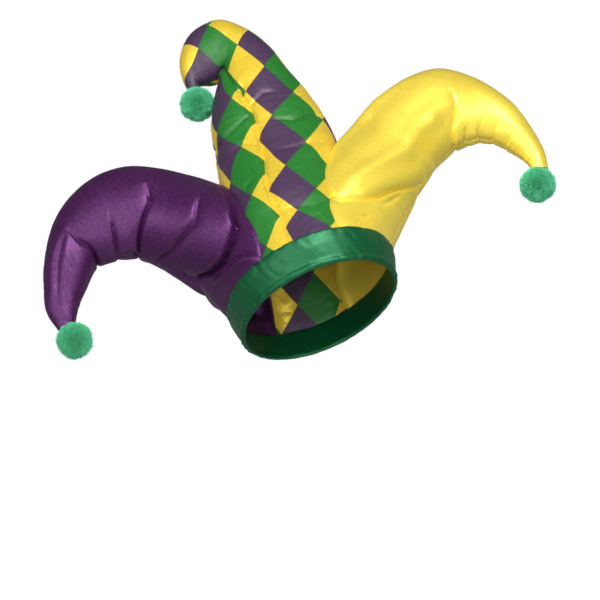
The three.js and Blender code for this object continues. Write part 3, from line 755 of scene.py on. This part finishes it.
def cuff_piece():
    """The padded cuff: a closed section carried round the rim, with a rolled edge and drawn-in seams."""
    q = np.arange(CUFF_PROFILE) / CUFF_PROFILE
    keys = np.array(CUFF_SECTION + CUFF_SECTION[:1], float)
    steps = np.diff(keys * [CUFF_PAD, CUFF_HEIGHT], axis=0)
    lengths = np.concatenate([[0], np.cumsum(np.linalg.norm(steps, axis=1))])
    share = q * lengths[-1]
    out = np.interp(share, lengths, keys[:, 0])
    up = np.interp(share, lengths, keys[:, 1])
    kernel = np.array([0.25, 0.5, 0.25])
    for _ in range(3):
        out = np.convolve(np.concatenate([out[-1:], out, out[:1]]), kernel, "valid")
        up = np.convolve(np.concatenate([up[-1:], up, up[:1]]), kernel, "valid")
    angle = 2 * np.pi * np.arange(CUFF_AROUND) / CUFF_AROUND
    a, o, h = angle[:, None], out[None, :], up[None, :]
    arc = a * RIM_RADIUS
    outer = np.clip(o, 0, 1)
    top_draw = np.exp(-(((1 - h) * CUFF_HEIGHT / 0.007) ** 2))
    low_draw = np.exp(-((h * CUFF_HEIGHT / 0.008) ** 2))
    pucker = smooth_noise(arc / 0.006, h * 2.0 + 0 * arc, 5) * CUFF_PUCKER * (top_draw + 0.8 * low_draw)
    drag = smooth_noise(arc / 0.012 + h * 1.6, h * 5.0 - arc / 0.05, 6) * CUFF_DRAG
    drag += smooth_noise(arc / 0.0045 + h * 4.0, h * 1.5 - arc / 0.06, 12) * CUFF_FINE_DRAG
    broad = smooth_noise(arc / 0.045, h * 1.5 + 0 * arc, 8) * CUFF_WAVE
    growth = o * CUFF_PAD + CUFF_FLARE * h + outer * (pucker + drag + broad)
    radius = rim_radius(a, HALF_WIDTH + growth, HALF_LENGTH + growth, RIM_TURN)
    points = np.stack([radius * np.cos(a), radius * np.sin(a), h * CUFF_HEIGHT + 0 * a], -1)
    verts = points.reshape(-1, 3)
    faces, maps = [], []
    around = 2 * np.pi * RIM_RADIUS / CUFF_AROUND
    step = lengths[-1] / CUFF_PROFILE
    for r in range(CUFF_AROUND):
        s = (r + 1) % CUFF_AROUND
        for c in range(CUFF_PROFILE):
            d = (c + 1) % CUFF_PROFILE
            faces.append([r * CUFF_PROFILE + c, s * CUFF_PROFILE + c, s * CUFF_PROFILE + d, r * CUFF_PROFILE + d])
            maps.append([(c * step, r * around), (c * step, (r + 1) * around),
                         ((c + 1) * step, (r + 1) * around), ((c + 1) * step, r * around)])
    piece = mesh_object("cuff_cloth", verts, faces, {"cloth": maps})
    piece.data.materials.append(green_satin)
    smooth(piece, 60)
    return piece


cuff = cuff_piece()


# ---- pompoms

STRAND_END = 0.22  # a strand's width at its end, to its root's
STRAND_LEAN, STRAND_TWIST = 0.5, 3.1  # radians either way
STRAND_SIZES = (0.72, 1.0)
CLUMPS = 260  # to a metre
CLUMP_LEVELS = (("From Min", 0.35), ("From Max", 0.65), ("To Min", 0.72), ("To Max", 1.12))


def pompom_tree(name, material):
    """Geometry nodes: strands of yarn standing out of a ball, in every direction."""
    tree = bpy.data.node_groups.new(name, "GeometryNodeTree")
    face = tree.interface
    face.new_socket("Ball", in_out="INPUT", socket_type="NodeSocketGeometry")
    for label, value in (("Strands per area", 1.0), ("Strand length", 0.006), ("Strand width", 0.0008)):
        socket = face.new_socket(label, in_out="INPUT", socket_type="NodeSocketFloat")
        socket.default_value = value
    face.new_socket("Pompom", in_out="OUTPUT", socket_type="NodeSocketGeometry")
    n, link = tree.nodes.new, tree.links.new
    given, result = n("NodeGroupInput"), n("NodeGroupOutput")
    spread = n("GeometryNodeDistributePointsOnFaces")
    spread.distribute_method = "RANDOM"
    spread.inputs["Seed"].default_value = 4
    link(given.outputs["Ball"], spread.inputs["Mesh"])
    link(given.outputs["Strands per area"], spread.inputs["Density"])
    strand = n("GeometryNodeMeshCone")
    strand.fill_type = "NONE"
    strand.inputs["Vertices"].default_value = 3
    strand.inputs["Side Segments"].default_value = 1
    half = n("ShaderNodeMath")
    half.operation = "MULTIPLY"
    half.inputs[1].default_value = 0.5
    link(given.outputs["Strand width"], half.inputs[0])
    link(half.outputs[0], strand.inputs["Radius Bottom"])
    thin = n("ShaderNodeMath")
    thin.operation = "MULTIPLY"
    thin.inputs[1].default_value = STRAND_END
    link(given.outputs["Strand width"], thin.inputs[0])
    link(thin.outputs[0], strand.inputs["Radius Top"])
    link(given.outputs["Strand length"], strand.inputs["Depth"])
    lean = n("FunctionNodeRandomValue")
    lean.data_type = "FLOAT_VECTOR"
    lean.inputs["Min"].default_value = (-STRAND_LEAN, -STRAND_LEAN, -STRAND_TWIST)
    lean.inputs["Max"].default_value = (STRAND_LEAN, STRAND_LEAN, STRAND_TWIST)
    lean.inputs["Seed"].default_value = 9
    turn = n("FunctionNodeRotateEuler")
    turn.space = "LOCAL"
    link(spread.outputs["Rotation"], turn.inputs[0])
    link(lean.outputs[0], turn.inputs["Rotate By"])
    size = n("FunctionNodeRandomValue")
    size.data_type = "FLOAT"
    size.inputs[2].default_value, size.inputs[3].default_value = STRAND_SIZES
    size.inputs["Seed"].default_value = 13
    clumps = n("ShaderNodeTexNoise")
    clumps.inputs["Scale"].default_value = CLUMPS
    clumps.inputs["Detail"].default_value = 1
    level = n("ShaderNodeMapRange")
    for label, value in CLUMP_LEVELS:
        level.inputs[label].default_value = value
    link(clumps.outputs[0], level.inputs["Value"])
    grown = n("ShaderNodeMath")
    grown.operation = "MULTIPLY"
    link(size.outputs[1], grown.inputs[0])
    link(level.outputs[0], grown.inputs[1])
    place = n("GeometryNodeInstanceOnPoints")
    link(spread.outputs["Points"], place.inputs["Points"])
    link(strand.outputs["Mesh"], place.inputs["Instance"])
    link(turn.outputs[0], place.inputs["Rotation"])
    link(grown.outputs[0], place.inputs["Scale"])
    real = n("GeometryNodeRealizeInstances")
    link(place.outputs[0], real.inputs[0])
    both = n("GeometryNodeJoinGeometry")
    link(real.outputs[0], both.inputs[0])
    link(given.outputs["Ball"], both.inputs[0])
    coat = n("GeometryNodeSetMaterial")
    coat.inputs["Material"].default_value = material
    link(both.outputs[0], coat.inputs[0])
    link(coat.outputs[0], result.inputs[0])
    return tree


STRAND_LENGTH = 0.0065
STRAND_WIDTH = 0.0007
STRANDS_PER_AREA = 8e6
STRAND_SHOWN = 0.8  # the share of a strand that stands out of the core
BALL_RINGS, BALL_SIDES = 14, 20
strands_tree = pompom_tree("yarn_strands", pompom_yarn)


def pompom_piece(name, horn):
    """A pompom that the horn's tip sinks into: strands on a core ball, kept as a plain mesh."""
    radius = POMPOM_DIAMETER / 2
    centre = horn.tip + horn.heading * (radius - POMPOM_SINK)
    core = radius - STRAND_LENGTH * STRAND_SHOWN
    rings, sides = BALL_RINGS, BALL_SIDES
    verts = [tuple(centre + [0, 0, core])]
    for r in range(1, rings):
        for s in range(sides):
            polar, a = math.pi * r / rings, 2 * math.pi * s / sides
            verts.append(tuple(centre + core * np.array(
                [math.sin(polar) * math.cos(a), math.sin(polar) * math.sin(a), math.cos(polar)])))
    verts.append(tuple(centre - [0, 0, core]))
    last = len(verts) - 1
    faces = []
    for s in range(sides):
        t = (s + 1) % sides
        faces.append([0, 1 + s, 1 + t])
        faces.append([last, last - sides + t, last - sides + s])
        for r in range(rings - 2):
            a, b = 1 + r * sides, 1 + (r + 1) * sides
            faces.append([a + s, b + s, b + t, a + t])
    ball = mesh_object(name, verts, faces)
    modifier = ball.modifiers.new("strands", "NODES")
    modifier.node_group = strands_tree
    names = {item.name: item.identifier for item in strands_tree.interface.items_tree if item.in_out == "INPUT"}
    modifier[names["Strands per area"]] = STRANDS_PER_AREA
    modifier[names["Strand length"]] = STRAND_LENGTH
    modifier[names["Strand width"]] = STRAND_WIDTH
    bpy.context.view_layer.update()
    mesh = bpy.data.meshes.new_from_object(ball.evaluated_get(bpy.context.evaluated_depsgraph_get()))
    ball.modifiers.clear()
    old = ball.data
    ball.data = mesh
    mesh.name = name
    bpy.data.meshes.remove(old)
    mesh.shade_smooth()
    return ball


pompoms = {
    "purple": pompom_piece("purple_yarn", purple),
    "middle": pompom_piece("harlequin_yarn", middle),
    "yellow": pompom_piece("yellow_yarn", yellow),
}


# ---- frame

for piece, node, slot in (
    (cuff, "cuff", "green_satin"),
    (cloth["purple"], "purple_horn", "purple_satin"),
    (cloth["middle"], "harlequin_horn", "harlequin_satin"),
    (cloth["yellow"], "yellow_horn", "yellow_satin"),
    (pompoms["purple"], "purple_pompom", "yarn"),
    (pompoms["middle"], "harlequin_pompom", "yarn"),
    (pompoms["yellow"], "yellow_pompom", "yarn"),
):
    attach(piece, "root")
    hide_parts(node)


# ---- floor, lights, camera

FLOOR_DEPTH = 1.75  # the hat stands this high on a standing wearer
FLOOR_HALF = 40
corners = [(x * FLOOR_HALF, y * FLOOR_HALF, -FLOOR_DEPTH) for x, y in ((-1, -1), (1, -1), (1, 1), (-1, 1))]
floor = mesh_object("floor", corners, [[0, 1, 2, 3]])
plain = Nodes("pale_floor")
seen = plain.mix(plain.make("ShaderNodeLightPath", {}), (0, 0, 0, 1), (1, 1, 1, 1))
floor.data.materials.append(plain.surface(Base_Color=(0.8, 0.8, 0.79, 1), Roughness=0.9,
                                          Emission_Color=seen, Emission_Strength=0.5))

# The world's light near the horizon and overhead, between two heights of the view direction
LOW_LIGHT, HIGH_LIGHT = 0.36, 0.10
LOW_VIEW, HIGH_VIEW = -0.1, 0.8
# The wide key light: cosines of its edge and its even middle, its strength, and where it is by the picture's
# right, up and towards the camera
KEY_EDGE, KEY_MIDDLE, KEY_GLOW = 0.64, 0.97, 6.2
KEY_PLACE = (-1.00, -0.50, 1.5)
# Columns: name, place by the picture's right, up and towards the camera, size, power, seen in reflections
LAMPS = [
    ("key", (-0.75, -0.30, 1.6), (0.7, 0.7), 10, True),
    ("top", (0.05, 1.0, 1.0), (0.8, 0.5), 22, True),
    ("fill", (1.0, 0.5, 1.7), (1.0, 1.2), 17, True),
    ("back_left", (-1.1, 0.5, -1.7), (0.9, 0.9), 42, False),
    ("back_right", (1.3, 0.3, -1.5), (0.9, 0.9), 34, False),
]
LAMP_AIM = Vector((0, 0, 0.15))
SENSOR_WIDTH = 36


def studio_world(key_side):
    """White backdrop where the camera looks, a soft light weaker from above, and a wide key light."""
    world = bpy.data.worlds.new("studio")
    world.use_nodes = True
    tree = world.node_tree
    tree.nodes.clear()
    n, link = tree.nodes.new, tree.links.new
    where, split, up = n("ShaderNodeTexCoord"), n("ShaderNodeSeparateXYZ"), n("ShaderNodeMapRange")
    link(where.outputs["Generated"], split.inputs[0])
    link(split.outputs["Z"], up.inputs["Value"])
    for label, value in (("From Min", LOW_VIEW), ("From Max", HIGH_VIEW),
                         ("To Min", LOW_LIGHT), ("To Max", HIGH_LIGHT)):
        up.inputs[label].default_value = value
    facing, glow, total = n("ShaderNodeVectorMath"), n("ShaderNodeMapRange"), n("ShaderNodeMath")
    facing.operation = "DOT_PRODUCT"
    link(where.outputs["Generated"], facing.inputs[0])
    facing.inputs[1].default_value = key_side
    glow.interpolation_type = "SMOOTHSTEP"
    link(facing.outputs["Value"], glow.inputs["Value"])
    for label, value in (("From Min", KEY_EDGE), ("From Max", KEY_MIDDLE), ("To Min", 0), ("To Max", KEY_GLOW)):
        glow.inputs[label].default_value = value
    link(up.outputs[0], total.inputs[0])
    link(glow.outputs[0], total.inputs[1])
    light, backdrop = n("ShaderNodeBackground"), n("ShaderNodeBackground")
    link(total.outputs[0], light.inputs["Strength"])
    light.inputs["Color"].default_value = (1, 1, 1, 1)
    backdrop.inputs["Color"].default_value = (1, 1, 1, 1)
    backdrop.inputs["Strength"].default_value = 1.0
    seen, mix, output = n("ShaderNodeLightPath"), n("ShaderNodeMixShader"), n("ShaderNodeOutputWorld")
    link(seen.outputs["Is Camera Ray"], mix.inputs[0])
    link(light.outputs[0], mix.inputs[1])
    link(backdrop.outputs[0], mix.inputs[2])
    link(mix.outputs[0], output.inputs[0])
    bpy.context.scene.world = world


bpy.context.scene.view_settings.view_transform = "Standard"

right = Vector((math.cos(CAMERA_YAW), -math.sin(CAMERA_YAW), 0))
level_back = Vector((math.sin(CAMERA_YAW), math.cos(CAMERA_YAW), 0))
ahead = level_back * math.cos(CAMERA_PITCH) + Vector((0, 0, math.sin(CAMERA_PITCH)))
upright = Vector((0, 0, math.cos(CAMERA_PITCH))) - level_back * math.sin(CAMERA_PITCH)
picture_right = right * math.cos(CAMERA_ROLL) - upright * math.sin(CAMERA_ROLL)
picture_up = right * math.sin(CAMERA_ROLL) + upright * math.cos(CAMERA_ROLL)



def picture_place(place):
    """A place given by the picture's right, up and towards the camera."""
    return picture_right * place[0] + picture_up * place[1] - ahead * place[2]


studio_world(picture_place(KEY_PLACE).normalized())

camera = bpy.data.objects.new("camera", bpy.data.cameras.new("camera"))
bpy.context.scene.collection.objects.link(camera)
camera.data.sensor_width = SENSOR_WIDTH
camera.data.lens = SENSOR_WIDTH * CAMERA_DISTANCE / FRAME_WIDTH
turned = Matrix((picture_right, picture_up, -ahead)).transposed().to_4x4()
camera.matrix_world = Matrix.Translation(
    -ahead * CAMERA_DISTANCE - picture_right * HAT_RIGHT + picture_up * HAT_DOWN
) @ turned
bpy.context.scene.camera = camera


def soft_box(name, place, size, power, mirrored):
    """An area light aimed at the hat."""
    data = bpy.data.lights.new(name, "AREA")
    data.shape = "RECTANGLE"
    data.size, data.size_y = size
    data.energy = power
    lamp = bpy.data.objects.new(name, data)
    bpy.context.scene.collection.objects.link(lamp)
    lamp.location = picture_place(place)
    lamp.visible_camera = False
    lamp.visible_glossy = mirrored
    lamp.rotation_mode = "QUATERNION"
    lamp.rotation_quaternion = (LAMP_AIM - lamp.location).to_track_quat("-Z", "Y")


for lamp_row in LAMPS:
    soft_box(*lamp_row)
